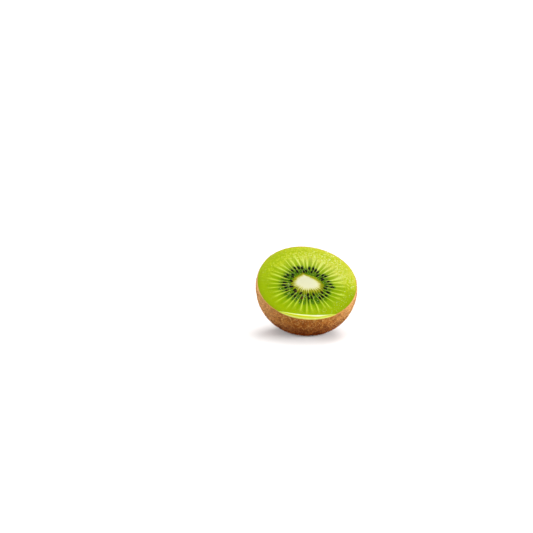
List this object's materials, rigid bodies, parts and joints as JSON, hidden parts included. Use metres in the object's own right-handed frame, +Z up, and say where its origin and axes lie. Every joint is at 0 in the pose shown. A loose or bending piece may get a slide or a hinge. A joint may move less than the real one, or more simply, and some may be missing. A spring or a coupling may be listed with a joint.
{
  "type": "kiwi fruit half",
  "caption": "Half of a green kiwi fruit, cut across and lying on its brown skin with the cut face leaning forward, showing a pale core, a ring of dark seeds and green flesh.",
  "frame": {"origin": "centre of the small flat spot under the fruit, on the ground", "axes": "+Z up, +X along the length of the cut face, and the cut face leans towards -Y"},
  "size_m": [0.0523, 0.0467, 0.043],
  "materials": {
    "flesh": "moist, fine-grained",
    "core": "moist, smooth",
    "seed": "wet, glossy",
    "skin": "dry, covered in short fuzz",
    "juice": "clear, wet"
  },
  "bodies": {
    "root": {"kiwi_half": "flesh"}
  },
  "joints": []
}
